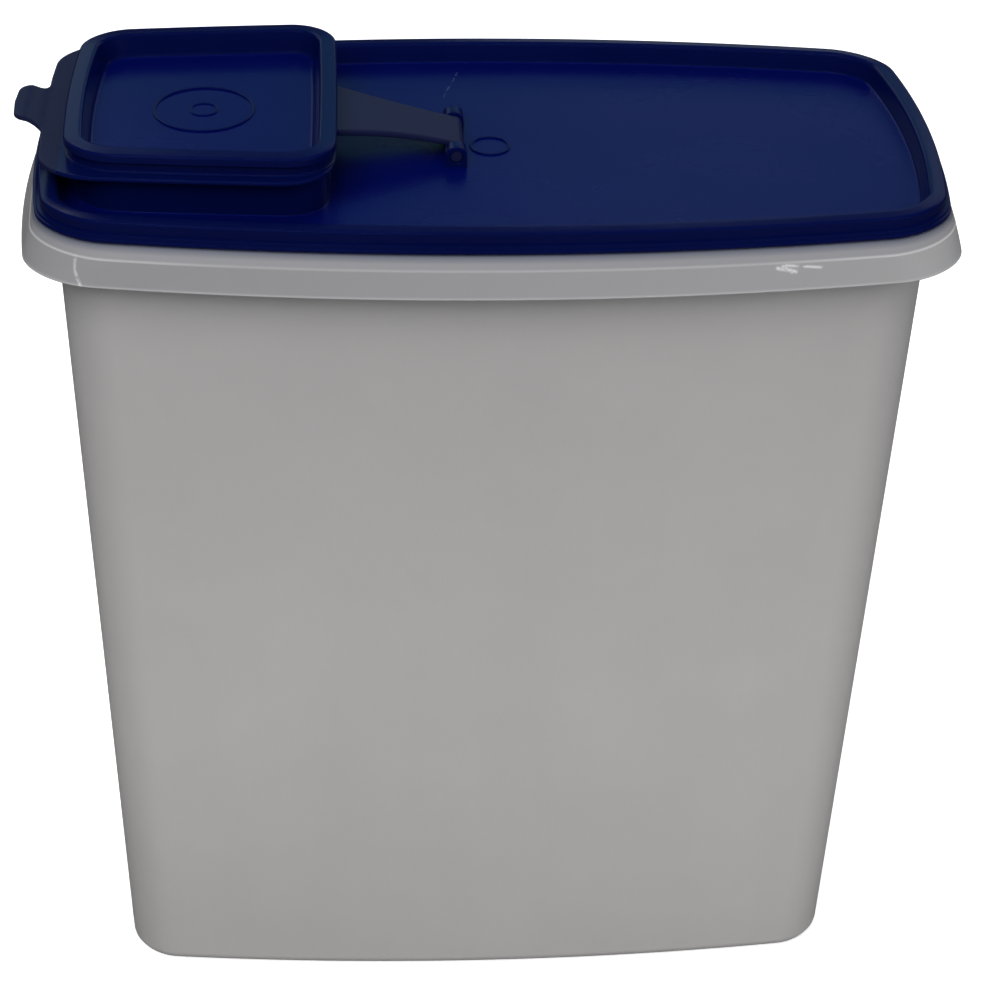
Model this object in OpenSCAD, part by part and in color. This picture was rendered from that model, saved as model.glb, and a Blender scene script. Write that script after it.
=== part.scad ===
// Cereal container with a press-on lid and a flip-up spout cap.
// Millimetres, +Z up. The origin is the middle of the base, and the spout is at -X.

/* [Container body] */
// Height of the lip that the lid snaps over
lip_z = 236.7; // [160:0.1:300]
// Length of the body just under the collar
body_l = 211.2; // [170:0.1:280]
// Depth of the body just under the collar, at its middle
body_d = 101.6; // [86:0.2:150]
// How much shorter the body is at its base
draft_l = 10.8; // [2:0.2:16]
// How much shallower the body is at its base
draft_d = 9.2; // [2:0.2:14]
// How far each long side bows out at the collar
side_bow = 8.4; // [2:0.2:12]
// How far each long side bows out at the base
base_bow = 6; // [1:0.2:10]
// How far each end bows out
end_bow = 4.5; // [1:0.1:8]
// Radius of the upright corners
corner_r = 10.6; // [6:0.1:20]
// Thickness of the body walls
wall = 1.8; // [1:0.1:3]
// Thickness of the base
base_t = 2.2; // [1.2:0.1:4]
// Radius of the rounded edge round the base
base_r = 4; // [2.5:0.5:5.5]

/* [Collar and lip] */
// How far the lip stands outside the body
lip_step = 1.5; // [1.2:0.1:3.5]
// Thickness of the lip
lip_t = 1.5; // [1:0.1:1.9]
// Height of the lip above the collar's flat seat
lip_h = 3.6; // [2.4:0.1:8]
// How far the collar reaches out from the lip
collar_out = 6.3; // [5:0.1:12]
// How much further in the collar's ridge lies at the two ends, so that the skirt flares there
end_flare = 2.8; // [0:0.1:2.8]
// Height of the skirt that hangs from the collar
skirt_h = 7.4; // [3:0.2:16]
// Drop from the seat to the ridge of the collar
shoulder_drop = 2.3; // [1:0.1:4]
// Thickness of the collar where it leaves the body
collar_root_t = 2.5; // [1.8:0.1:4]
// Thickness of the skirt
skirt_t = 1.6; // [0.8:0.1:2.4]

/* [Lid] */
// Clearance between the lid and the lip all round
lid_gap = 0.3; // [0.1:0.05:0.5]
// Thickness of the rim's outer wall
rim_t = 1.1; // [0.8:0.1:1.6]
// Thickness of the rim's inner wall at its top
rim_in_t = 1; // [0.8:0.1:1.6]
// Thickness of the rim's top
rim_top_t = 1.2; // [0.8:0.1:2]
// How far the bead along the rim's lower edge stands out
rim_bead_out = 1.4; // [0.6:0.1:1.8]
// Height of the bead along the rim's lower edge
rim_bead_h = 1.9; // [1.2:0.1:2.6]
// Depth of the panel below the rim
panel_drop = 4.8; // [3.8:0.1:7]
// Thickness of the panel
panel_t = 1.5; // [1:0.1:2.2]
// Radius of the moulding ring in the middle of the panel
gate_r = 4.7; // [3:0.1:7]

/* [Spout] */
// Height of the spout above the panel
spout_h = 14.2; // [10:0.1:20]
// Thickness of the spout's wall
spout_t = 1; // [0.8:0.1:1.6]
// Clearance between the spout and the cap's walls
spout_gap = 0.3; // [0.2:0.05:0.6]
// Extra clearance at the tab end, where the cap's wall swings over the spout
swing_gap = 0.35; // [0.3:0.05:0.8]

/* [Flip cap] */
// Length of the cap's bead
cap_l = 64.3; // [50:0.1:76]
// Distance from the middle of the lid to the middle of the cap
cap_x = 69.35; // [62:0.05:69.8]
// Distance from the rim's outer edge in to the cap, on each long side
cap_inset = 14.5; // [12:0.1:22]
// Radius of the cap's corners
cap_r = 11.5; // [9.5:0.5:14]
// Bow of the cap's long sides, taken over the whole lid
cap_side_bow = 5.2; // [2:0.2:10]
// How far the cap's ends bow out
cap_bow = 1.6; // [0.4:0.1:3]
// Overhang of the bead beyond the cap's outer wall
bead_over = 1; // [0.6:0.1:2]
// Height of the bead
bead_h = 2.6; // [2:0.1:3.4]
// Width of the bead's rounded top
bead_w = 4.4; // [3.8:0.1:5]
// Thickness of the cap's walls
cap_t = 0.8; // [0.7:0.1:1.2]
// Thickness of the cap over the spout
cap_top_t = 1.4; // [1:0.1:2]
// Depth of the cap's recess below its bead
recess = 5.9; // [4.4:0.1:7]
// Thickness of the recess floor
cap_floor_t = 1.2; // [0.8:0.1:1.6]
// Radius of the ring on the recess floor
floor_ring_r = 11.9; // [8:0.1:16]
// Height of the raised rings on the cap and the lid
ring_h = 0.35; // [0.2:0.05:0.6]
// Thickness of the brim and the pull tab
brim_t = 1.2; // [0.8:0.1:1.4]
// How far the brim stands out beyond the bead
brim_out = 2.1; // [1:0.1:2.6]
// How much further the brim reaches at the tab end
brim_end = 4; // [2:0.1:5]
// Width of the pull tab
tab_w = 18.5; // [12:0.5:26]
// Length of the pull tab
tab_l = 7.4; // [5:0.1:10]
// Upward tilt of the pull tab in degrees
tab_tilt = 17; // [0:1:20]

/* [Hinge] */
// Distance from the middle of the lid to the hinge axis
hinge_x = 8.7; // [4:0.1:12]
// Height of the hinge axis above the panel
hinge_h = 2.8; // [2.6:0.1:4]
// Radius of the hinge pin
pin_r = 1.5; // [1.1:0.05:1.6]
// Radial clearance of the pin in its ears
pin_gap = 0.08; // [0.04:0.01:0.1]
// Radius of the rounded end of the strap
knuckle_r = 2; // [1.9:0.05:2.3]
// Width of the strap along the hinge
strap_w = 14.6; // [12:0.2:24]
// Width of the strap where it meets the cap
strap_root_w = 26.5; // [24:0.5:34]
// Thickness of the strap
strap_t = 1.6; // [1:0.1:2]
// Clearance between the strap and each ear
ear_gap = 0.3; // [0.2:0.05:0.8]
// Thickness of each ear
ear_t = 4; // [2:0.1:5]
// Half the length of each ear, and its height above the hinge axis
ear_r = 2.6; // [2.5:0.05:3.4]

/* [Hidden] */

// Segments in a quarter corner, along a long side and along an end
corner_n = 6;
side_n = 8;
end_n = 4;
round_fn = 64;

// Radii of the small roundings along edges and at the feet of walls
edge_r = 0.4;
soft_r = 0.9;
foot_r = 0.8;
// Radius of the ears' top corners
ear_soft = 1.3;
// How far the rim's inner wall and the cap's plug lean over their height
rim_draft = 0.8;
plug_draft = 1.2;
// Share of the flare that is taken out of the bow of the ends
flare_bow = 0.65;
// How much smaller the radius of the collar's corners is at the foot of its skirt
foot_square = 3;
// Height of the hump along the top of the strap
strap_hump = 0.4;
// How deep a piece that is set on another one sinks into it
sink = 0.5;

// The lip's outer face is the line that the collar, the lid and the cap are all set out from
lip_a = body_l / 2 + lip_step;
lip_b = body_d / 2 + lip_step;
lip_r = corner_r + lip_step;
reach = lip_a - end_bow;

seat_z = lip_z - lip_h;
ridge_z = seat_z - shoulder_drop;
skirt_z = ridge_z - skirt_h;
under_z = seat_z - collar_root_t;
body_in = -lip_step - wall;
seat_out = lid_gap + rim_t + rim_bead_out + 0.2;

rim_out = lid_gap + rim_t;
rim_z = lip_z + lid_gap + rim_top_t;
panel_z = rim_z - panel_drop;
plug_out = -lip_t - lid_gap;
rim_in = plug_out - rim_in_t;

cap_x0 = -cap_x - cap_l / 2;
cap_x1 = -cap_x + cap_l / 2;
cap_b = lip_b + rim_out - cap_inset;
spout_z = panel_z + spout_h;
channel_z = spout_z + lid_gap;
bead_z = channel_z + cap_top_t;
bead_low = bead_z - bead_h;
floor_z = bead_z - recess;
skin_z = floor_z - cap_floor_t;
brim_z = skin_z + 0.8;
wall_low = brim_z - 0.5;
wall_in = bead_over + cap_t;
spout_out = wall_in + spout_gap;
spout_in = spout_out + spout_t;
plug_in = spout_in + spout_gap;

pivot = [-hinge_x, 0, panel_z + hinge_h];
bore_r = pin_r + pin_gap;
ear_y = strap_w / 2 + ear_gap;
strap_x0 = cap_x1 - wall_in;

// Points of an arc in a profile, each one [distance outwards, height]
function arc(c, r, a0, a1, n) =
    [for (i = [0:n]) let (a = a0 + (a1 - a0) * i / n) c + r * [cos(a), sin(a)]];

function corner(c, r, a0) = arc(c, r, a0, a0 + 90, corner_n);
function between(p, q, n) = [for (i = [1:n - 1]) p + (q - p) * i / n];

// A rounded rectangle from x0 to x1, with half depth b
function plain_outline(x0, x1, b, r) = concat(
    corner([x1 - r, b - r], r, 0),
    between([x1 - r, b], [x0 + r, b], side_n),
    corner([x0 + r, b - r], r, 90),
    between([x0, b - r], [x0, r - b], end_n),
    corner([x0 + r, r - b], r, 180),
    between([x0 + r, -b], [x1 - r, -b], side_n),
    corner([x1 - r, r - b], r, 270),
    between([x1, r - b], [x1, b - r], end_n)
);

// The same with bowed sides: b is the half depth at x = 0, and the ends bow by e0 and e1
function outline(x0, x1, b, r, e0, e1, bow) =
    let (mid = (x0 + x1) / 2, half = (x1 - x0 - e0 - e1) / 2)
    [for (p = plain_outline(x0 + e0, x1 - e1, b, max(r, 0.8)))
        let (s = (p.x - mid) / half, k = 1 - pow(p.y / b, 2))
        [p.x + s * k * (s > 0 ? e1 : e0), p.y * (1 - bow / b * pow(p.x / reach, 2))]];

function at(points, z) = [for (p = points) [p.x, p.y, z]];

// Outlines that are offset outwards by d: round the lip, round the body at height z, round the cap
function lip_ring(d, z) =
    at(outline(-lip_a - d, lip_a + d, lip_b + d, lip_r + d, end_bow, end_bow, side_bow), z);

// Round the collar at height z: its ends lie further in at the ridge, its corners are squarer at the foot
function collar_ring(d, z) =
    let (on = d > seat_out ? 1 : 0, t = min(1, (z - skirt_z) / (ridge_z - skirt_z)),
        cut = on * end_flare * t, e = end_bow - flare_bow * cut, a = lip_a + d - cut,
        r = lip_r + d - on * foot_square * (1 - t))
    at(outline(-a, a, lip_b + d, r, e, e, side_bow), z);

function body_ring(d, z) =
    let (t = 1 - z / under_z,
        a = body_l / 2 - draft_l / 2 * t + d,
        b = body_d / 2 - draft_d / 2 * t + d)
    at(outline(-a, a, b, corner_r + d, end_bow, end_bow, side_bow + (base_bow - side_bow) * t), z);

function cap_ring(d, z, shift = 0) =
    at(outline(cap_x0 - d + shift, cap_x1 + d, cap_b + d, cap_r + d, cap_bow, cap_bow / 4, cap_side_bow), z);

// Skins a list of outlines into one closed solid: a tube that closes on itself, or one with two flat ends
module loft(rings, closed = false) {
    n = len(rings[0]);
    m = len(rings);
    last = closed ? m - 1 : m - 2;
    sides = [for (i = [0:last], j = [0:n - 1], half = [0, 1])
        let (a = i * n + j, b = i * n + (j + 1) % n,
            c = (i + 1) % m * n + (j + 1) % n, d = (i + 1) % m * n + j)
        half == 0 ? [a, d, c] : [a, c, b]];
    ends = closed ? [] : [[for (j = [0:n - 1]) j], [for (j = [n - 1:-1:0]) (m - 1) * n + j]];
    polyhedron([for (r = rings) each r], concat(sides, ends), convexity = 10);
}

module raised_ring(r, z) {
    ring_w = 0.7;
    translate([0, 0, z - sink])
        rotate_extrude($fn = round_fn)
            translate([r - ring_w / 2, 0]) square([ring_w, ring_h + sink]);
}

// One skin from the underside of the base, up the outside, over the collar and lip, and down the inside
module container() {
    floor_r = base_r - 1.2;
    skirt_in = collar_out - skirt_t;
    ridge_out = collar_out - edge_r;
    shares = [0.25, 0.5, 0.75];
    outside = concat(
        arc([-base_r, base_r], base_r, -90, 0, 3),
        [for (k = shares) [0, under_z * k]]
    );
    collar = concat(
        [[-lip_step, under_z], [seat_out - skirt_t, under_z]],
        [[skirt_in - edge_r, ridge_z - 1], [skirt_in, ridge_z - 2.2]],
        [[skirt_in, skirt_z + edge_r], [skirt_in + edge_r, skirt_z]],
        arc([collar_out - edge_r, skirt_z + edge_r], edge_r, -90, 0, 1),
        arc([ridge_out - soft_r, ridge_z - edge_r], soft_r, 0, 50, 2),
        [[seat_out, seat_z], [0, seat_z]],
        arc([-edge_r, lip_z - edge_r], edge_r, 0, 90, 1),
        arc([edge_r - lip_t, lip_z - edge_r], edge_r, 90, 180, 1),
        [[-lip_t, seat_z - edge_r], [body_in, seat_z - 2.1]]
    );
    inside = concat(
        [for (k = [0.75, 0.5, 0.25]) [-wall, under_z * k]],
        arc([-wall - floor_r, base_t + floor_r], floor_r, 0, -90, 3)
    );
    color([0.70, 0.69, 0.70])
        loft(concat(
            [for (p = outside) body_ring(p[0], p[1])],
            [for (p = collar) collar_ring(p[0], p[1])],
            [for (p = inside) body_ring(p[0], p[1])]
        ));
}

// The rim, the panel and the spout are one skin that runs round the pouring hole
module lid_shell() {
    low_z = panel_z - panel_t;
    foot_z = seat_z + lid_gap;
    bead_out = rim_out + rim_bead_out;
    bead_top = foot_z + rim_bead_h;
    rim_foot = rim_in - rim_draft;
    rim = concat(
        [[plug_out - 1.4, low_z], [plug_out, low_z + 1.4], [plug_out, lip_z + lid_gap]],
        [[lid_gap, lip_z + lid_gap], [lid_gap, foot_z]],
        arc([bead_out - edge_r, foot_z + edge_r], edge_r, -90, 0, 1),
        arc([bead_out - edge_r, bead_top - edge_r], edge_r, 0, 70, 1),
        [[rim_out, bead_top]],
        arc([rim_out - soft_r, rim_z - soft_r], soft_r, 0, 90, 2),
        arc([rim_in + soft_r, rim_z - soft_r], soft_r, 90, 180, 2),
        arc([rim_foot - foot_r, panel_z + foot_r], foot_r, 0, -90, 2)
    );
    spout = concat(
        arc([foot_r - spout_out, panel_z + foot_r], foot_r, -90, -180, 2),
        arc([-spout_out - edge_r, spout_z - edge_r], edge_r, 0, 90, 1),
        arc([edge_r - spout_in, spout_z - edge_r], edge_r, 90, 180, 1),
        arc([-spout_in + edge_r, low_z + edge_r], edge_r, 180, 270, 1)
    );
    loft(concat(
        [for (p = rim) lip_ring(p[0], p[1])],
        [for (p = spout) cap_ring(p[0], p[1], swing_gap)]
    ), closed = true);
}

// An ear with two rounded top corners, drilled for the hinge pin
module ear() {
    low = hinge_h + sink;
    flat_l = ear_r - ear_soft;
    difference() {
        union() {
            translate([-ear_r, -low, 0]) cube([2 * ear_r, low + flat_l, ear_t]);
            translate([-flat_l, 0, 0]) cube([2 * flat_l, ear_r, ear_t]);
            for (s = [-1, 1])
                translate([s * flat_l, flat_l, 0]) cylinder(r = ear_soft, h = ear_t, $fn = round_fn);
        }
        translate([0, 0, -1]) cylinder(r = bore_r, h = ear_t + 2, $fn = round_fn);
    }
}

module lid() {
    color([0.05, 0.09, 0.30]) {
        lid_shell();
        raised_ring(gate_r, panel_z);
        for (y = [-ear_y, ear_y + ear_t])
            translate(pivot + [0, y, 0]) rotate([90, 0, 0]) ear();
    }
}

// One skin from under the recess floor, round the channel for the spout and over the bead
module cap_shell() {
    plug_foot = -plug_in - plug_draft;
    recess_foot = -bead_w - plug_draft;
    fillet = 1.2;
    under = concat(
        arc([plug_foot - soft_r, skin_z + soft_r], soft_r, -90, 0, 2),
        [[-plug_in, channel_z], [-wall_in, channel_z], [-wall_in, wall_low]],
        [[-bead_over, wall_low], [-bead_over, bead_low]]
    );
    over = concat(
        arc([-edge_r, bead_low + edge_r], edge_r, -90, 0, 1),
        arc([-soft_r, bead_z - soft_r], soft_r, 0, 90, 2),
        arc([soft_r - bead_w, bead_z - soft_r], soft_r, 90, 180, 2),
        arc([recess_foot - fillet, floor_z + fillet], fillet, 0, -90, 2)
    );
    loft([for (p = concat(under, over)) cap_ring(p[0], p[1])]);
}

function brim_outline() = outline(
    cap_x0 - brim_out - brim_end, cap_x1 - bead_over + sink,
    cap_b + brim_out, cap_r + soft_r, cap_bow, cap_bow / 4, cap_side_bow);

function flat(points) = [for (p = points) [p.x, p.y]];

// Brim and pull tab seen from above, with soft inside corners at the tab's root
module brim_plan() {
    tip_r = 4;
    offset(r = -tip_r, $fn = 32) offset(r = tip_r, $fn = 32) {
        polygon(brim_outline());
        hull() {
            for (s = [-1, 1])
                translate([cap_x0 - brim_out - brim_end - tab_l + tip_r, s * (tab_w / 2 - tip_r)])
                    circle(r = tip_r, $fn = 32);
            translate([cap_x0 - tab_w / 2, -tab_w / 2]) square([1, tab_w]);
        }
    }
}

module brim() {
    hinge_line = cap_x0 - brim_out - brim_end + sink;
    translate([0, 0, brim_z])
        linear_extrude(brim_t)
            difference() {
                brim_plan();
                polygon(flat(cap_ring(-bead_over - cap_t / 2, 0)));
                translate([hinge_line - 50, -50]) square([50, 100]);
            }
    translate([hinge_line, 0, brim_z])
        rotate([0, tab_tilt, 0])
            linear_extrude(brim_t)
                intersection() {
                    translate([-hinge_line, 0]) brim_plan();
                    translate([-50, -50]) square([50.2, 100]);
                }
}

// Top line of the strap: a gentle hump from the brim down to the knuckle
function strap_top(t) =
    brim_z + brim_t + (pivot.z + knuckle_r - brim_z - brim_t) * t + strap_hump * sin(180 * t);

function strap_half(t) = strap_w / 2 + (strap_root_w - strap_w) / 2 * pow(1 - t, 2);

module strap() {
    steps = 12;
    soft = 0.35;
    rings = [for (i = [0:steps])
        let (t = i / steps, x = strap_x0 + (pivot.x - strap_x0) * t,
            w = strap_half(t), z1 = strap_top(t), z0 = z1 - strap_t)
        [for (q = [[-w + soft, z0], [w - soft, z0], [w, z0 + soft], [w, z1 - soft],
            [w - soft, z1], [-w + soft, z1], [-w, z1 - soft], [-w, z0 + soft]])
            [x, q[0], q[1]]]];
    loft(rings);
}

module flip_cap() {
    pin_l = strap_w + 2 * (ear_gap + ear_t) - 0.6;
    color([0.05, 0.09, 0.28]) {
        cap_shell();
        brim();
        strap();
        translate([-cap_x, 0, 0]) raised_ring(floor_ring_r, floor_z);
        translate(pivot) rotate([90, 0, 0]) {
            cylinder(r = knuckle_r, h = strap_w, center = true, $fn = round_fn);
            cylinder(r = pin_r, h = pin_l, center = true, $fn = round_fn);
        }
    }
}

container();
lid();
flip_cap();
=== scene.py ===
from math import atan2, ceil, cos, hypot, pi, radians, sin, tan

import bmesh
import bpy
from mathutils import Matrix, Vector


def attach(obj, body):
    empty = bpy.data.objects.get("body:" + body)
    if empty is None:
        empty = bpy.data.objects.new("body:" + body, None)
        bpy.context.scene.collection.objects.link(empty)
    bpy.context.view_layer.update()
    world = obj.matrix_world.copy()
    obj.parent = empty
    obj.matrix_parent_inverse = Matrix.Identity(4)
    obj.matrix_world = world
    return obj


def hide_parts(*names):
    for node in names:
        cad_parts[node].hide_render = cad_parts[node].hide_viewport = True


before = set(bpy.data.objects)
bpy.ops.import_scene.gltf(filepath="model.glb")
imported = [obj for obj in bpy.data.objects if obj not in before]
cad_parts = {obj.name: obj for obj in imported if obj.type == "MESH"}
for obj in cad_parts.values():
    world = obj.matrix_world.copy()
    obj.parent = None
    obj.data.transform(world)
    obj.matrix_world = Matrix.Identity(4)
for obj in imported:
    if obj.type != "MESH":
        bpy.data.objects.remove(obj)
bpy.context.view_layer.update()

MM = 0.001

# Driving sizes in millimetres, the same as the solids have

# Container: the lip's half length, half depth and corner radius; levels from the lip's top down to
# the skirt's foot; the bows of ends and sides; the lean of the collar's ends; taper, wall and base
LIP_A, LIP_B, LIP_R = 107.1, 52.3, 12.1
LIP_Z, SEAT_Z, RIDGE_Z, UNDER_Z, SKIRT_Z = 236.7, 233.1, 230.8, 230.6, 223.4
END_BOW, SIDE_BOW, BASE_BOW = 4.5, 8.4, 6.0
FLARE, FLARE_BOW, FOOT_SQUARE = 2.8, 0.65, 3.0
REACH = LIP_A - END_BOW
DRAFT_L, DRAFT_D, WALL, STEP = 10.8, 9.2, 1.8, 1.5
BASE_T, BASE_R = 2.2, 4.0

# Lid: the levels of the rim's outer top, the crest's rise over it, the panel and the lowest edge
RIM_Z, CREST, PANEL_Z, LOW_Z = 238.2, 0.4, 233.4, 231.9

# Flip cap: ends, half depth and corner radius; bows; levels and thicknesses
CAP_X0, CAP_X1, CAP_B, CAP_R = -101.5, -37.2, 39.2, 11.5
CAP_BOWS = (1.6, 0.4, 5.2)
CAP_MID = (CAP_X0 + CAP_X1) / 2
SPOUT_Z, CHANNEL_Z, BEAD_Z, BEAD_LOW = 247.6, 247.9, 249.3, 246.7
FLOOR_Z, SKIN_Z, BRIM_Z, BRIM_T = 243.4, 242.2, 243.0, 1.2

# Hinge: the pin's middle; the strap's width at the pin and at the cap, and its thickness; the ears'
# inner face, thickness and radius; the bore, the pin and half the pin's length
PIVOT = Vector((-8.7, 0, 236.2))
STRAP_W, STRAP_ROOT, STRAP_T = 14.6, 26.5, 1.6
EAR_Y, EAR_T, EAR_R = 7.6, 4.0, 2.6
BORE_R, PIN_R, PIN_HALF, KNUCKLE_R = 1.58, 1.5, 11.3, 2.0


# ---- outlines and profiles ----

def plain_outline(x0, x1, b, r, corner, side, right, left):
    """A rounded rectangle, counter-clockwise from the start of the corner at (x1, b)."""
    points = []

    def turn(cx, cy, a0):
        for i in range(corner + 1):
            a = radians(a0 + 90 * i / corner)
            points.append((cx + r * cos(a), cy + r * sin(a)))

    def run(p, q, n):
        for i in range(1, n):
            points.append((p[0] + (q[0] - p[0]) * i / n, p[1] + (q[1] - p[1]) * i / n))

    turn(x1 - r, b - r, 0)
    run((x1 - r, b), (x0 + r, b), side)
    turn(x0 + r, b - r, 90)
    run((x0, b - r), (x0, r - b), left)
    turn(x0 + r, r - b, 180)
    run((x0 + r, -b), (x1 - r, -b), side)
    turn(x1 - r, r - b, 270)
    run((x1, r - b), (x1, b - r), right)
    return points


def outline(x0, x1, b, r, e0, e1, bow, corner=14, side=44, right=22, left=22):
    """The same with bowed sides: b is the half depth at x = 0, and the ends bow by e0 and e1."""
    mid, half = (x0 + x1) / 2, (x1 - x0 - e0 - e1) / 2
    made = []
    for x, y in plain_outline(x0 + e0, x1 - e1, b, max(r, 0.8), corner, side, right, left):
        s, k = (x - mid) / half, 1 - (y / b) ** 2
        made.append((x + s * k * (e1 if s > 0 else e0), y * (1 - bow / b * (x / REACH) ** 2)))
    return made


def body_ring(d, z):
    """Round the container: d is measured outwards from the lip's face. The walls below the collar
    taper, and the collar's ends lean in towards its ridge, fading out under the lid."""
    t = 0 if d > -STEP + 0.01 else max(0, 1 - z / UNDER_Z)
    up = min(1, max(0, (z - SKIRT_Z) / (RIDGE_Z - SKIRT_Z)))
    start, over = (3.0, 2.6) if z > UNDER_Z + 0.15 else (1.4, 2.8)
    out = min(1, max(0, (d - start) / over))
    cut = FLARE * out * up
    a, b = LIP_A - DRAFT_L / 2 * t + d - cut, LIP_B - DRAFT_D / 2 * t + d
    r, bow = LIP_R + d - FOOT_SQUARE * out * (1 - up), END_BOW - FLARE_BOW * cut
    side_bow = SIDE_BOW + (BASE_BOW - SIDE_BOW) * t
    return [(x, y, z) for x, y in outline(-a, a, b, r, bow, bow, side_bow)]


def cap_ring(d, z, shift=0.0):
    """Round the flip cap: d is measured outwards, and shift moves the tab's end in."""
    return [(x, y, z) for x, y in
            outline(CAP_X0 - d + shift, CAP_X1 + d, CAP_B + d, CAP_R + d, *CAP_BOWS)]


def soften(points, closed=False, steps=5):
    """Rounds the corners of a profile of (across, up, radius)."""
    made, n = [], len(points)
    for i, (x, y, r) in enumerate(points):
        if r <= 0 or (not closed and i in (0, n - 1)):
            made.append((x, y))
            continue
        here = Vector((x, y))
        a = Vector(points[i - 1][:2]) - here
        b = Vector(points[(i + 1) % n][:2]) - here
        half = a.angle(b) / 2
        t = min(r / tan(half), a.length * 0.49, b.length * 0.49)
        a.normalize()
        b.normalize()
        centre = here + (a + b).normalized() * (t / cos(half))
        va, vb = here + a * t - centre, here + b * t - centre
        turn = atan2(va.x * vb.y - va.y * vb.x, va.dot(vb))
        count = max(1, ceil(steps * abs(turn) / (pi / 2)))
        for k in range(count + 1):
            c, s = cos(turn * k / count), sin(turn * k / count)
            made.append((centre.x + va.x * c - va.y * s, centre.y + va.x * s + va.y * c))
    return made


def refine(points, longest):
    """Splits the long runs of a profile."""
    made = [points[0]]
    for p, q in zip(points, points[1:]):
        n = max(1, ceil(hypot(q[0] - p[0], q[1] - p[1]) / longest))
        made += [(p[0] + (q[0] - p[0]) * i / n, p[1] + (q[1] - p[1]) * i / n)
                 for i in range(1, n + 1)]
    return made


def between(ring_a, ring_b, n):
    """Rings that lie between two rings of the same count."""
    return [[tuple(u + (v - u) * i / n for u, v in zip(p, q)) for p, q in zip(ring_a, ring_b)]
            for i in range(1, n)]


def closing(ring, inwards):
    """Rings that close a flat end towards its middle line."""
    x0, x1 = min(p[0] for p in ring), max(p[0] for p in ring)
    mid, half = (x0 + x1) / 2, (x1 - x0) / 2
    core = max(0.0, half - max(p[1] for p in ring))
    made = []
    for s in inwards:
        made.append([(mid + max(-core, min(core, x - mid)) * (1 - s) + (x - mid) * s, y * s, z)
                     for x, y, z in ring])
    return made


# ---- meshes ----

def solid(name, rings, closed=False):
    """One closed skin over a list of rings, in metres."""
    bm = bmesh.new()
    rows = [[bm.verts.new((x * MM, y * MM, z * MM)) for x, y, z in ring] for ring in rings]
    n, m = len(rows[0]), len(rows)
    for i in range(m if closed else m - 1):
        a, b = rows[i], rows[(i + 1) % m]
        for j in range(n):
            bm.faces.new((a[j], a[(j + 1) % n], b[(j + 1) % n], b[j]))
    if not closed:
        bm.faces.new(rows[0][::-1])
        bm.faces.new(rows[-1])
    bmesh.ops.recalc_face_normals(bm, faces=bm.faces)
    mesh = bpy.data.meshes.new(name)
    bm.to_mesh(mesh)
    bm.free()
    obj = bpy.data.objects.new(name, mesh)
    bpy.context.scene.collection.objects.link(obj)
    return obj


def turned(name, profile, centre, axis="Z", count=72, closed=False):
    """A profile of (radius, along) turned about an axis through centre."""
    rings = []
    for r, h in profile:
        ring = []
        for i in range(count):
            a = 2 * pi * i / count
            p = (r * cos(a), r * sin(a), h) if axis == "Z" else (r * cos(a), h, r * sin(a))
            ring.append(tuple(Vector(centre) + Vector(p)))
        rings.append(ring)
    return solid(name, rings, closed)


def combine(base, others):
    """Joins closed pieces to base, into one closed skin."""
    for other in others:
        join = base.modifiers.new("join", "BOOLEAN")
        join.operation = "UNION"
        join.solver = "MANIFOLD"
        join.object = other
    depsgraph = bpy.context.evaluated_depsgraph_get()
    mesh = bpy.data.meshes.new_from_object(base.evaluated_get(depsgraph))
    mesh.name = base.name
    base.modifiers.clear()
    old, base.data = base.data, mesh
    bpy.data.meshes.remove(old)
    for other in others:
        bpy.data.objects.remove(other)
    return base


def finish_mesh(obj, angle=32):
    """Drops slivers and sets smooth shading that keeps the hard edges."""
    bm = bmesh.new()
    bm.from_mesh(obj.data)
    bmesh.ops.remove_doubles(bm, verts=bm.verts, dist=2e-6)
    bmesh.ops.dissolve_degenerate(bm, edges=bm.edges, dist=2e-6)
    bm.to_mesh(obj.data)
    bm.free()
    obj.data.shade_smooth()
    obj.data.set_sharp_from_angle(angle=radians(angle))
    weigh = obj.modifiers.new("even_normals", "WEIGHTED_NORMAL")
    weigh.keep_sharp = True


def raised_ring(name, radius, z, centre_x, width=0.75, height=0.42):
    """A fine moulding ring that stands on a flat face at z."""
    w = width / 2
    profile = soften([(radius - w, z - 0.5, 0), (radius - w, z + height, 0.25),
                      (radius + w, z + height, 0.25), (radius + w, z - 0.5, 0)])
    return turned(name, profile, (centre_x, 0, 0), count=120, closed=True)


# ---- container ----

# From the middle of the underside up the outside, over the collar and the lip, and down the inside
foot = soften([(-15, 0.8, 0), (-11.4, 0.8, 0.8), (-9.9, 0, 0.6), (-STEP, 0, BASE_R),
               (-STEP, UNDER_Z, 0.6), (1.4, UNDER_Z, 1), (4.25, 229.85, 0.6), (4.7, 228.4, 0.6),
               (4.7, SKIRT_Z, 0.38), (6.3, SKIRT_Z, 0.38), (5.87, 230.87, 0.9),
               (3.0, SEAT_Z, 0.5), (0, SEAT_Z, 0.4), (0, LIP_Z, 0.45), (-1.5, LIP_Z, 0.45),
               (-1.5, 232.8, 0.5), (-STEP - WALL, 230.9, 1.4),
               (-STEP - WALL, BASE_T, BASE_R - 1.2), (-15, BASE_T, 0)])
rings = [body_ring(d, z) for d, z in refine(foot, 16)]
base_shares = (0.85, 0.7, 0.5, 0.3, 0.12)
rings = closing(rings[0], base_shares)[::-1] + rings + closing(rings[-1], base_shares)
container = solid("container_shell", rings)

# ---- lid ----

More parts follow.
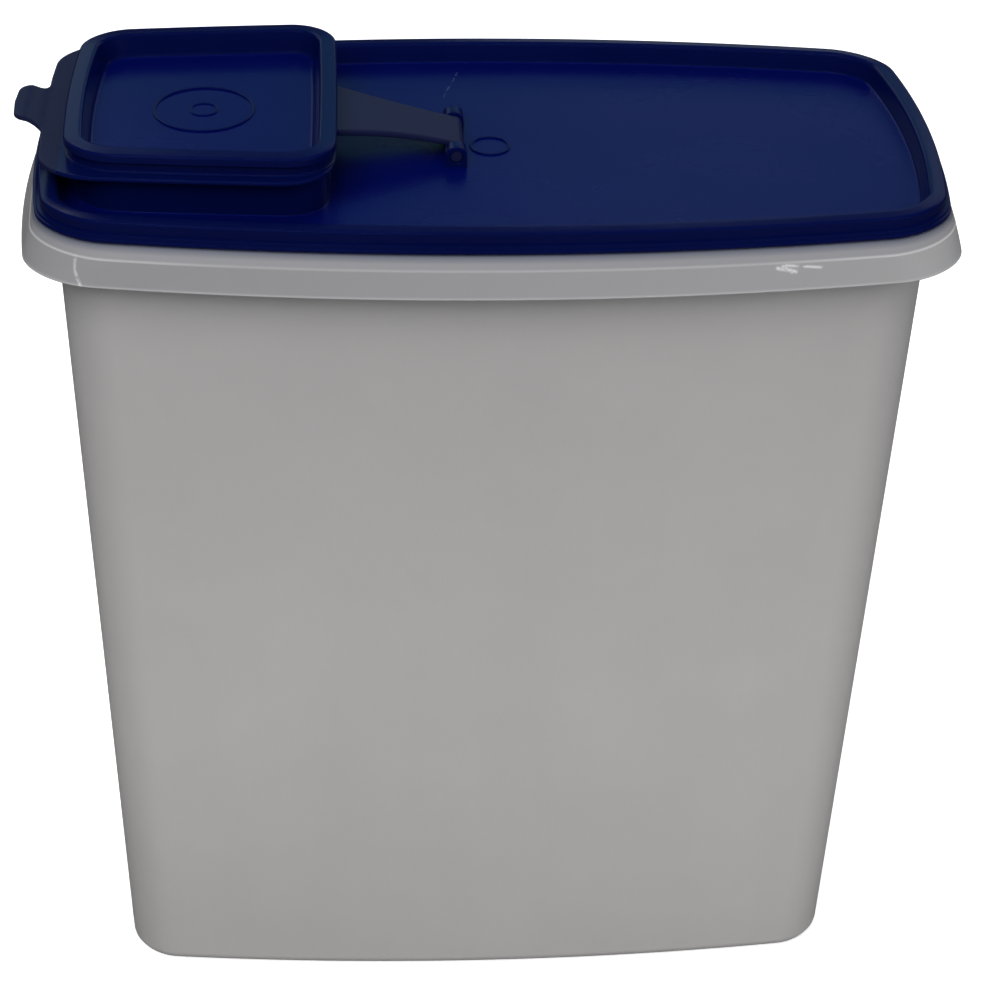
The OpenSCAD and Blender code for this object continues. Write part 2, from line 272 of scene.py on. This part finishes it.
# The rim goes through its channel and over the lip, with a small step outside and a top that slopes
rim = soften([(-4.9, LOW_Z, 0), (-3.2, LOW_Z, 0.3), (-1.8, 233.3, 0.4), (-1.8, 237.0, 0.25),
              (0.3, 237.0, 0.25), (0.3, PANEL_Z, 0.2), (2.8, PANEL_Z, 0.3), (2.8, 234.4, 0.25),
              (2.25, 234.5, 0.1), (2.2, 235.3, 0.2), (1.42, 235.3, 0.1), (1.4, RIM_Z, 0.7),
              (-2.5, RIM_Z + CREST, 1.2), (-3.6, PANEL_Z, 0.95), (-4.9, PANEL_Z, 0)])
spout = soften([(-1.3, PANEL_Z, 0), (-2.1, PANEL_Z, 0.7), (-2.1, SPOUT_Z, 0.45),
                (-3.1, SPOUT_Z, 0.45), (-3.1, LOW_Z, 0.45), (-1.7, LOW_Z, 0)])
SWING_GAP = 0.35
PANEL_RINGS = 8
rim_rings = [body_ring(d, z) for d, z in refine(rim, 4)]
spout_rings = [cap_ring(d, z, SWING_GAP) for d, z in refine(spout, 4)]
panel = between(rim_rings[-1], spout_rings[0], PANEL_RINGS)
underside = between(spout_rings[-1], rim_rings[0], PANEL_RINGS)
lid = solid("lid_moulding", rim_rings + panel + spout_rings + underside, closed=True)


def ear(name, y0, y1):
    """A flat-topped ear with softened faces, bored for the hinge pin."""
    soft, drop, corner = 0.35, 3.4, 2.1

    def loop(cut):
        h, c = EAR_R - cut, corner - cut / 2
        points = [(h, (h - c) * k / 4) for k in range(4)]
        points += [(h - c + c * cos(radians(a)), h - c + c * sin(radians(a)))
                   for a in range(0, 91, 15)]
        points += [((h - c) * (1 - k / 4), h) for k in range(1, 4)]
        points += [(-x, z) for x, z in points[::-1]]
        points += [(-h, -drop * k / 6) for k in range(1, 7)]
        points += [(-h + h * 2 * k / 12, -drop) for k in range(1, 12)]
        return points + [(h, -drop + drop * k / 6) for k in range(0, 6)]

    def hole(radius):
        return [(radius * cos(atan2(z, x)), radius * sin(atan2(z, x))) for x, z in loop(0)]

    steps = [(hole(BORE_R + 0.15), y0), (loop(soft), y0), (loop(0.1), y0 + 0.1),
             (loop(0), y0 + soft), (loop(0), y1 - soft), (loop(0.1), y1 - 0.1),
             (loop(soft), y1), (hole(BORE_R + 0.15), y1), (hole(BORE_R), y1 - 0.15),
             (hole(BORE_R), y0 + 0.15)]
    rings = [[(PIVOT.x + x, y, PIVOT.z + z) for x, z in points] for points, y in steps]
    return solid(name, rings, closed=True)


lid = combine(lid, [ear("ear_rear", EAR_Y, EAR_Y + EAR_T), ear("ear_front", -EAR_Y - EAR_T, -EAR_Y),
                    raised_ring("gate_ring", 4.7, PANEL_Z, 0)])

# ---- flip cap ----

# From the middle of the plug out through the channel, up the wall, over the bead, and to the recess
cap_profile = soften([(-13, SKIN_Z, 0), (-4.6, SKIN_Z, 0.9), (-3.4, CHANNEL_Z, 0.3),
                      (-1.8, CHANNEL_Z, 0.3), (-1.8, BRIM_Z - 0.5, 0.25), (-1, BRIM_Z - 0.5, 0.25),
                      (-1, BEAD_LOW, 0.45), (0, BEAD_LOW, 0.45), (0, BEAD_Z - 0.3, 0.7),
                      (-4.2, BEAD_Z, 0.9), (-5.6, FLOOR_Z, 1.2), (-14, FLOOR_Z, 0)])
rings = [cap_ring(d, z) for d, z in refine(cap_profile, 4)]
cap_shares = (0.8, 0.6, 0.4, 0.2)
rings = closing(rings[0], cap_shares)[::-1] + rings + closing(rings[-1], cap_shares)
cap = solid("cap_moulding", rings)


def brim_loops(left=72):
    """Inner and outer edge of the brim in plan, with the pull tab in the outer one."""
    inner = outline(CAP_X0 + 1.4, CAP_X1 - 1.4, CAP_B - 1.4, CAP_R - 1.4, *CAP_BOWS, left=left)
    outer = outline(CAP_X0 - 6.1, CAP_X1 - 0.5, CAP_B + 2.1, CAP_R + 0.9, *CAP_BOWS, left=left)
    root, tip, half, reach = 3.6, 3.6, 9.25, 6.85
    mouth_x, mouth = CAP_X0 - 6, 16

    def nearest(y):
        return min(range(len(outer)), key=lambda i: hypot(outer[i][0] - mouth_x, outer[i][1] - y))

    start, stop = nearest(mouth), nearest(-mouth)
    edge = (outer[start][0] + outer[stop][0]) / 2
    path = [outer[start]]
    for i in range(13):
        a = radians(-90 * i / 12)
        path.append((edge - root + root * cos(a), half + root + root * sin(a)))
    for i in range(13):
        a = radians(90 + 90 * i / 12)
        path.append((edge - reach + tip + tip * cos(a), half - tip + tip * sin(a)))
    path += [(edge - reach - 0.35, 0)] + [(x, -y) for x, y in path[::-1]]
    lengths = [0.0]
    for p, q in zip(path, path[1:]):
        lengths.append(lengths[-1] + hypot(q[0] - p[0], q[1] - p[1]))
    for i in range(start, stop + 1):
        along = lengths[-1] * (i - start) / (stop - start)
        k = max(j for j in range(len(path) - 1) if lengths[j] <= along + 1e-9)
        f = (along - lengths[k]) / max(1e-9, lengths[k + 1] - lengths[k])
        outer[i] = tuple(u + (v - u) * f for u, v in zip(path[k], path[k + 1]))
    return inner, outer


def inset(loop, d):
    """A loop drawn in by d."""
    made, n = [], len(loop)
    for i in range(n):
        t = Vector(loop[(i + 1) % n]) - Vector(loop[i - 1])
        t.normalize()
        made.append((loop[i][0] - t.y * d, loop[i][1] + t.x * d))
    return made


EDGE_R = 0.5
EDGE_TURNS = (90, 67.5, 45, 22.5, 0)
BRIM_RINGS = 18
inner, outer = brim_loops()
top, low = BRIM_Z + BRIM_T, BRIM_Z


def edge_ring(level, side, turn):
    """One ring of the brim's rounded edge: side is 1 over the edge and -1 under it."""
    a = radians(turn)
    z = level - side * EDGE_R + side * EDGE_R * sin(a)
    return [(x, y, z) for x, y in inset(outer, EDGE_R - EDGE_R * cos(a))]


levels = [[(x, y, top) for x, y in inner]]
levels += between(levels[0], [(x, y, top) for x, y in inset(outer, EDGE_R)], BRIM_RINGS)
levels += [edge_ring(top, 1, turn) for turn in EDGE_TURNS]
levels += [edge_ring(low, -1, turn) for turn in EDGE_TURNS[::-1]]
levels += between(levels[-1], [(x, y, low) for x, y in inner], BRIM_RINGS)
levels.append([(x, y, low) for x, y in inner])


def tab_lift(p):
    """Lifts the pull tab along an S-curve."""
    start, run, rise = CAP_X0 - 5.6, 4.5, 1.75
    u = min(1, max(0, (start - p[0]) / run))
    return (p[0], p[1], p[2] + rise * u * u * (3 - 2 * u))


brim = solid("brim", [[tab_lift(p) for p in ring] for ring in levels], closed=True)
FILLET_R = 0.72
fillet = [(-0.3 + FILLET_R * cos(radians(a)), top + 0.7 + FILLET_R * sin(radians(a)))
          for a in range(180, 271, 15)]
fillet += [(-0.3, top - 0.3), (-1.4, top - 0.3), (-1.4, top + 0.7)]
fillet = solid("fillet", [cap_ring(d, z) for d, z in fillet], closed=True)

STRAP_STEPS, STRAP_START, STRAP_ARCH, STRAP_EDGE = 44, CAP_X1 - 1.8, 0.4, 0.5
strap_rings = []
for i in range(STRAP_STEPS + 1):
    t = i / STRAP_STEPS
    x = STRAP_START + (PIVOT.x - STRAP_START) * t
    w = STRAP_W / 2 + (STRAP_ROOT - STRAP_W) / 2 * (1 - t) ** 2
    z1 = top + (PIVOT.z + KNUCKLE_R - top) * t + STRAP_ARCH * sin(pi * t)
    z0 = z1 - STRAP_T
    section = soften([(-w, z0, STRAP_EDGE), (0, z0, 0), (w, z0, STRAP_EDGE),
                      (w, z1, STRAP_EDGE), (0, z1, 0), (-w, z1, STRAP_EDGE)], closed=True, steps=4)
    strap_rings.append([(x, y, z) for y, z in section])
strap = solid("strap", strap_rings)


def rod(name, radius, half, core, edge, count):
    """A rod along the hinge with rounded ends; core is the radius at which its ends close."""
    profile = [(core, -half, 0), (radius, -half, edge), (radius, half, edge), (core, half, 0)]
    return turned(name, soften(profile), PIVOT, "Y", count)


knuckle = rod("knuckle", KNUCKLE_R, STRAP_W / 2, 0.3, 0.45, 64)
pin = rod("pin", PIN_R, PIN_HALF, 0.2, 0.35, 56)
ring_a = raised_ring("ring_a", 11.9, FLOOR_Z, CAP_MID)
ring_b = raised_ring("ring_b", 3.3, FLOOR_Z, CAP_MID, 0.7, 0.3)
cap = combine(cap, [brim, fillet, strap, knuckle, pin, ring_a, ring_b])

for obj in (container, lid, cap):
    finish_mesh(obj)


# ---- materials ----

class Paint:
    """A material's nodes, made one call at a time."""

    def __init__(self, name):
        self.mat = bpy.data.materials.new(name)
        self.mat.use_nodes = True
        self.tree = self.mat.node_tree
        self.tree.nodes.clear()
        self.out = self.tree.nodes.new("ShaderNodeOutputMaterial")
        self.place = self.node("ShaderNodeTexCoord").outputs["Object"]

    def node(self, kind, settings=None, **inputs):
        made = self.tree.nodes.new(kind)
        for key, value in (settings or {}).items():
            setattr(made, key, value)
        for key, value in inputs.items():
            key = key.replace("_", " ")
            numbered = key[0] == "i" and key[1:].isdigit()
            socket = made.inputs[int(key[1:]) if numbered else key]
            if isinstance(value, bpy.types.NodeSocket):
                self.tree.links.new(value, socket)
            else:
                socket.default_value = value
        return made

    def math(self, operation, a, b=0.0, c=0.0):
        return self.node("ShaderNodeMath", {"operation": operation}, i0=a, i1=b, i2=c).outputs[0]

    def vector(self, operation, a, b=(0, 0, 0), out=0):
        return self.node("ShaderNodeVectorMath", {"operation": operation}, i0=a, i1=b).outputs[out]

    def noise(self, scale, detail=2.0, rough=0.5, stretch=None):
        where = self.vector("MULTIPLY", self.place, stretch) if stretch else self.place
        made = self.node("ShaderNodeTexNoise", Vector=where, Scale=scale, Detail=detail,
                         Roughness=rough)
        return made.outputs["Fac"]

    def span(self, value, a0, a1, b0=0.0, b1=1.0):
        made = self.node("ShaderNodeMapRange", Value=value, From_Min=a0, From_Max=a1,
                         To_Min=b0, To_Max=b1)
        return made.outputs[0]

    def mix(self, fac, a, b):
        made = self.tree.nodes.new("ShaderNodeMix")
        made.data_type = "RGBA"
        for socket, value in zip((made.inputs[0], made.inputs[6], made.inputs[7]), (fac, a, b)):
            if isinstance(value, bpy.types.NodeSocket):
                self.tree.links.new(value, socket)
            else:
                socket.default_value = value
        return made.outputs[2]

    def scratch(self, p, q, width, fade):
        """A thin line from p to q, in millimetres: fade on it, 0 at width, thrice as far in Y."""
        p, q = (Vector((x, y / 3, z)) * MM for x, y, z in (p, q))
        away = self.vector("SUBTRACT", self.vector("MULTIPLY", self.place, (1, 1 / 3, 1)), tuple(p))
        share = self.vector("DOT_PRODUCT", away, tuple((q - p) / (q - p).length_squared), "Value")
        share = self.node("ShaderNodeClamp", Value=share).outputs[0]
        near = self.node("ShaderNodeVectorMath", {"operation": "SCALE"}, i0=tuple(q - p),
                         Scale=share)
        gap = self.vector("DISTANCE", away, near.outputs[0], "Value")
        return self.span(gap, 0.0, width, fade, 0.0)

    def bump(self, height, strength, distance, normal=None):
        extra = {"Normal": normal} if normal else {}
        made = self.node("ShaderNodeBump", Height=height, Strength=strength, Distance=distance,
                         **extra)
        return made.outputs[0]

    def surface(self, **inputs):
        shader = self.node("ShaderNodeBsdfPrincipled", **inputs)
        self.tree.links.new(shader.outputs[0], self.out.inputs[0])
        return self.mat


def colour(r, g, b):
    return (r, g, b, 1.0)


def frosted(scratches):
    """Milky translucent plastic with a fine matt grain, some handling marks, and painted shade and
    highlights.
    """
    m = Paint("frosted_plastic")
    cloud = m.noise(14, 3)
    streak = m.noise(60, 2, stretch=(1, 1, 0.12))
    axes = m.node("ShaderNodeSeparateXYZ", Vector=m.place).outputs

    def height(low, high, b0=0.0, b1=1.0):
        """Goes from b0 to b1 between two heights in millimetres."""
        return m.span(axes[2], low * MM, high * MM, b0, b1)

    # Milky walls, greyer at the foot, with painted shade under the collar
    base = m.mix(m.span(cloud, 0.3, 0.7), colour(0.50, 0.489, 0.478), colour(0.53, 0.519, 0.508))
    base = m.mix(m.span(streak, 0.35, 0.75, 0, 0.35), base, colour(0.48, 0.471, 0.466))
    base = m.mix(height(0, 80, 0.3, 0), base, colour(0.40, 0.388, 0.376))
    # Painted shade: the walls grow darker up towards the collar, as in its shadow
    base = m.mix(height(100, 222, 0, 0.6), base, colour(0.36, 0.352, 0.355))
    # The skirt, painted darker to the left and lighter to the right as the light falls, with a
    # painted glow along its thin foot
    skirt_side_shade = m.mix(m.span(axes[0], -0.11, 0.11), colour(0.312, 0.307, 0.322),
                  colour(0.375, 0.375, 0.38))
    base = m.mix(height(SKIRT_Z - 0.3, SKIRT_Z + 0.1), base, skirt_side_shade)
    # Painted highlight: light glowing through the thin edge of the skirt's foot
    foot_glow = m.math("MULTIPLY", height(SKIRT_Z - 0.2, SKIRT_Z),
                  height(SKIRT_Z + 0.4, SKIRT_Z + 1, 0.5, 0))
    base = m.mix(foot_glow, base, colour(0.60, 0.60, 0.61))
    # Painted shade on the shoulder, a painted highlight along the ridge that shows most at the
    # ends, and a painted shadow next to the lid, tinted with the blue of the lid seen through the
    # plastic
    # Painted shade on the shoulder below the lid
    base = m.mix(height(RIDGE_Z, RIDGE_Z + 0.4), base, colour(0.26, 0.26, 0.275))
    # Painted highlight along the ridge, strongest towards the ends
    ridge_highlight = m.math("MULTIPLY", height(RIDGE_Z - 0.4, RIDGE_Z - 0.1),
                   height(RIDGE_Z, RIDGE_Z + 0.3, 1, 0))
    ridge_highlight = m.math("MULTIPLY", ridge_highlight, m.span(m.math("ABSOLUTE", axes[0]), 0.06, 0.1, 0.08, 0.6))
    base = m.mix(ridge_highlight, base, colour(0.62, 0.62, 0.63))
    # Painted shadow of the lid's rim, tinted with the blue of the lid seen through the plastic
    base = m.mix(height(SEAT_Z - 1.2, SEAT_Z), base, colour(0.11, 0.12, 0.16))
    lines = 0.0
    for p, q, width, fade in scratches:
        lines = m.math("MAXIMUM", lines, m.scratch(p, q, width, fade))
    lines = m.math("MULTIPLY", lines, m.span(m.noise(600, 2), 0.3, 0.5))
    base = m.mix(lines, base, colour(0.82, 0.82, 0.84))
    grain = m.noise(1500, 2, 0.6)
    ripple = m.noise(35, 2)
    normal = m.bump(grain, 0.12, 0.0003)
    normal = m.bump(ripple, 0.12, 0.004, normal)
    rough = m.span(grain, 0.3, 0.7, 0.44, 0.56)
    return m.surface(Base_Color=base, Roughness=rough, Normal=normal, IOR=1.5,
                     Transmission_Weight=0.25, Specular_IOR_Level=0.4)


def navy(name, lit_blue, field_box, satin_sheen_box=None, scratches=()):
    """Dark blue moulded plastic with flow marks and fine wear, and a glossier flat field painted a
    brighter blue for the light that shines through its thin plastic.
    A box is (middle x, half x, half y, top) in metres; outside the second box the surface is
    rougher satin, its colour greyed by a painted sheen."""
    blend, step = 0.0006, 0.0002
    m = Paint(name)
    axes = m.node("ShaderNodeSeparateXYZ", Vector=m.place).outputs

    def inside(box):
        middle, half_x, half_y, top = box
        away = m.math("ABSOLUTE", m.math("SUBTRACT", axes[0], middle))
        side = m.math("ABSOLUTE", axes[1])
        share = m.math("MULTIPLY", m.span(away, half_x, half_x + blend, 1, 0),
                       m.span(side, half_y, half_y + blend, 1, 0))
        return m.math("MULTIPLY", share, m.span(axes[2], top, top + step, 1, 0))

    field = inside(field_box)
    cloud = m.noise(22, 3)
    fine = m.noise(900, 3, 0.6)
    ripple = m.noise(45, 2)
    base = m.mix(m.span(cloud, 0.3, 0.7), colour(0.0004, 0.0022, 0.033),
                 colour(0.0005, 0.0028, 0.037))
    # Painted light: the flat field is painted a brighter blue for the light that shines through its
    # thin plastic
    lit_field = m.mix(m.span(cloud, 0.3, 0.7), lit_blue, tuple(v * 1.1 for v in lit_blue))
    base = m.mix(field, base, lit_field)
    rough = m.math("ADD", m.span(field, 0, 1, 0.17, 0.24), m.span(cloud, 0.3, 0.7, 0, 0.05))
    # Outside the box the satin finish is rougher, and its colour is greyed as a painted sheen
    if satin_sheen_box:
        satin_and_sheen = m.math("SUBTRACT", 1.0, inside(satin_sheen_box))
        base = m.mix(satin_and_sheen, base, colour(0.0055, 0.0075, 0.031))
        rough = m.math("ADD", rough, m.math("MULTIPLY", satin_and_sheen, 0.2))
    lines = None
    for p, q, width, fade in scratches:
        line = m.scratch(p, q, width, fade)
        lines = m.math("MAXIMUM", lines, line) if lines else line
    normal = m.bump(fine, 0.03, 0.0002)
    normal = m.bump(ripple, 0.08, 0.002, normal)
    if lines:
        broken = m.math("MULTIPLY", lines, m.span(m.noise(700, 2), 0.4, 0.6))
        base = m.mix(broken, base, colour(0.10, 0.14, 0.25))
        rough = m.math("ADD", rough, m.math("MULTIPLY", broken, 0.3))
    return m.surface(Base_Color=base, Roughness=rough, Normal=normal, IOR=1.49,
                     Specular_IOR_Level=0.4)


def dress(obj, material):
    obj.data.materials.clear()
    obj.data.materials.append(material)
    for face in obj.data.polygons:
        face.material_index = 0


# Each mark is (from, to, half width in metres, strength), its ends in millimetres
skirt_scuffs = [((63.4, -55.1, 229.6), (67.7, -54.8, 228.5), 0.0007, 1.0),
                ((64.5, -55.1, 230.0), (66.8, -54.9, 228.4), 0.0006, 1.0),
                ((65.2, -55.0, 230.2), (73.6, -54.1, 229.2), 0.0005, 0.9)]
skirt_crack = [((-97.0, -50.4, 230.6), (-97.4, -50.8, 227.6), 0.0006, 1.0),
               ((-97.4, -50.8, 227.6), (-96.2, -51.2, 223.8), 0.0006, 0.9)]
panel_scratch = [((-6.3, 42.2, 233.4), (-9.3, 31.9, 233.4), 0.0003, 0.22),
                 ((-9.3, 31.9, 233.4), (-10.4, 27.8, 233.4), 0.0002, 0.15)]
# The brighter blue painted on the flat fields for the light that shines through them
FIELD_LIT_BLUE = colour(0.0001, 0.0018, 0.052)
NO_LIMIT = 0.2
panel_box = (0, NO_LIMIT, NO_LIMIT, (PANEL_Z + 0.12) * MM)
recess_box = (CAP_MID * MM, 0.0272, 0.0345, (FLOOR_Z + 0.12) * MM)
cap_box = (CAP_MID * MM, 0.0322, NO_LIMIT, 0.3)

dress(container, frosted(skirt_scuffs + skirt_crack))
dress(lid, navy("navy_plastic_lid", FIELD_LIT_BLUE, panel_box, scratches=panel_scratch))
dress(cap, navy("navy_plastic_cap", FIELD_LIT_BLUE, recess_box, cap_box))

for obj, node, body, slot in ((container, "container", "container", "frosted_body"),
                              (lid, "lid", "lid", "navy_lid"),
                              (cap, "flip_cap", "flip_cap", "navy_cap")):
    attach(obj, body)
    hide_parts(node)

# ---- floor, light and camera ----

# The floor and the room look pale to the camera and through the plastic, but light the object at a
# plain level and are dark in its reflections, which come from the lamps below
floor_paint = Paint("floor_paper")
ray = floor_paint.node("ShaderNodeLightPath")
seen = floor_paint.math("MAXIMUM", ray.outputs["Is Camera Ray"], ray.outputs["Is Transmission Ray"])
fibre = floor_paint.span(floor_paint.noise(300, 2), 0.3, 0.7, 0.0, 0.3)
pale = floor_paint.mix(fibre, colour(0.82, 0.82, 0.82), colour(0.79, 0.79, 0.79))
tone = floor_paint.mix(ray.outputs["Is Glossy Ray"], colour(0.30, 0.30, 0.31),
                       colour(0.02, 0.02, 0.03))
tone = floor_paint.mix(seen, tone, pale)
shader = floor_paint.node("ShaderNodeBsdfPrincipled", Base_Color=tone, Roughness=0.9,
                          Specular_IOR_Level=0.1)
glow = floor_paint.math("MULTIPLY", seen, 0.55)
shader.inputs["Emission Color"].default_value = colour(1, 1, 1)
floor_paint.tree.links.new(glow, shader.inputs["Emission Strength"])
floor_paint.tree.links.new(shader.outputs[0], floor_paint.out.inputs[0])
FLOOR_SIZE = 40
bpy.ops.mesh.primitive_plane_add(size=FLOOR_SIZE, location=(0, 0, 0))
floor = bpy.context.object
floor.name = "floor"
floor.data.materials.append(floor_paint.mat)

ROOM_LIGHT, ROOM_MIRRORED, ROOM_SEEN = 0.13, 0.02, 1.0
world = bpy.data.worlds.new("room")
bpy.context.scene.world = world
world.use_nodes = True
nodes, links = world.node_tree.nodes, world.node_tree.links
back = nodes["Background"]
path = nodes.new("ShaderNodeLightPath")
through = nodes.new("ShaderNodeMath")
through.operation = "MAXIMUM"
links.new(path.outputs["Is Camera Ray"], through.inputs[0])
links.new(path.outputs["Is Transmission Ray"], through.inputs[1])
mirrored = nodes.new("ShaderNodeMapRange")
mirrored.inputs["To Min"].default_value = ROOM_LIGHT
mirrored.inputs["To Max"].default_value = ROOM_MIRRORED
links.new(path.outputs["Is Glossy Ray"], mirrored.inputs["Value"])
level = nodes.new("ShaderNodeMapRange")
level.inputs["To Max"].default_value = ROOM_SEEN
links.new(mirrored.outputs[0], level.inputs["To Min"])
links.new(through.outputs[0], level.inputs["Value"])
links.new(level.outputs[0], back.inputs["Strength"])
back.inputs["Color"].default_value = colour(1, 1, 1)


def lamp(name, place, aim, size, power, tint=(1, 1, 1), height=None, mirrored=True):
    """An area lamp, square unless a height is given; mirrored says if glossy surfaces show it."""
    data = bpy.data.lights.new(name, "AREA")
    data.energy = power
    data.size = size
    if height:
        data.shape = "RECTANGLE"
        data.size_y = height
    data.color = tint
    obj = bpy.data.objects.new(name, data)
    obj.location = place
    obj.rotation_euler = (Vector(aim) - Vector(place)).to_track_quat("-Z", "Y").to_euler()
    obj.visible_glossy = mirrored
    bpy.context.scene.collection.objects.link(obj)


def toward(azimuth, elevation, distance):
    """A place seen from the lid's middle: azimuth from straight behind, positive to the right."""
    a, e = radians(azimuth), radians(elevation)
    out = distance * cos(e)
    return (out * sin(a), out * cos(a), LID[2] + distance * sin(e))


LID = (0, 0, 0.24)
COOL, SKY, HAZE, DUSK = (0.85, 0.93, 1.0), (0.18, 0.84, 1.0), (0.6, 0.85, 1.0), (0.7, 0.85, 1.0)

# Soft lamps that light the object and aren't mirrored in it
lamp("key", (-0.7, -1.45, 1.95), (0, 0, 0.15), 1.5, 55, mirrored=False)
lamp("fill", (1.3, -1.4, 0.8), (0, 0, 0.12), 1.2, 18, mirrored=False)
lamp("top", (-0.1, 0.1, 2.0), (0, 0, 0.2), 0.9, 8, mirrored=False)
lamp("back", (0.5, 1.9, 1.3), (0, 0, 0.12), 1.4, 22, mirrored=False)

# Weak lamps behind, which the lid mirrors
lamp("sky", toward(-5, 26.5, 2.6), LID, 2.4, 0.64, SKY, height=0.55)
lamp("strip", toward(10, 14, 2.3), LID, 0.55, 0.22, DUSK, height=0.32)
lamp("high", toward(10, 34, 2.1), LID, 0.4, 0.1, HAZE, height=0.15)
lamp("glint_left", toward(-22, 40, 1.9), (-0.05, 0, LID[2]), 0.2, 0.35, COOL)
lamp("room_right", toward(44, 25, 2.6), LID, 2.0, 1.4, COOL, height=1.1)
lamp("room_left", toward(-33, 25, 2.6), LID, 2.0, 1.4, COOL, height=1.1)

# The photograph's camera, as fitted to its outlines
YAW, PITCH, ROLL = 0.073, 0.598, 0.030
CAMERA_PLACE = Vector((-0.035305, -0.551304, 0.507426))
FOCAL_PIXELS, PICTURE_PIXELS, SENSOR, SHIFT_Y = 2490.07, 1000, 36.0, -0.0086
camera_data = bpy.data.cameras.new("camera")
camera = bpy.data.objects.new("camera", camera_data)
bpy.context.scene.collection.objects.link(camera)
bpy.context.scene.camera = camera
look = Vector((sin(YAW) * cos(PITCH), cos(YAW) * cos(PITCH), -sin(PITCH)))
right = Vector((cos(YAW), -sin(YAW), 0))
up = right.cross(look)
side = right * cos(ROLL) + up * sin(ROLL)
rise = -right * sin(ROLL) + up * cos(ROLL)
turned_to = Matrix((side, rise, -look)).transposed().to_4x4()
camera.matrix_world = Matrix.Translation(CAMERA_PLACE) @ turned_to
camera_data.sensor_width = SENSOR
camera_data.lens = FOCAL_PIXELS * SENSOR / PICTURE_PIXELS
camera_data.shift_y = SHIFT_Y
camera_data.clip_start, camera_data.clip_end = 0.05, 60

bpy.context.scene.view_settings.view_transform = "Standard"
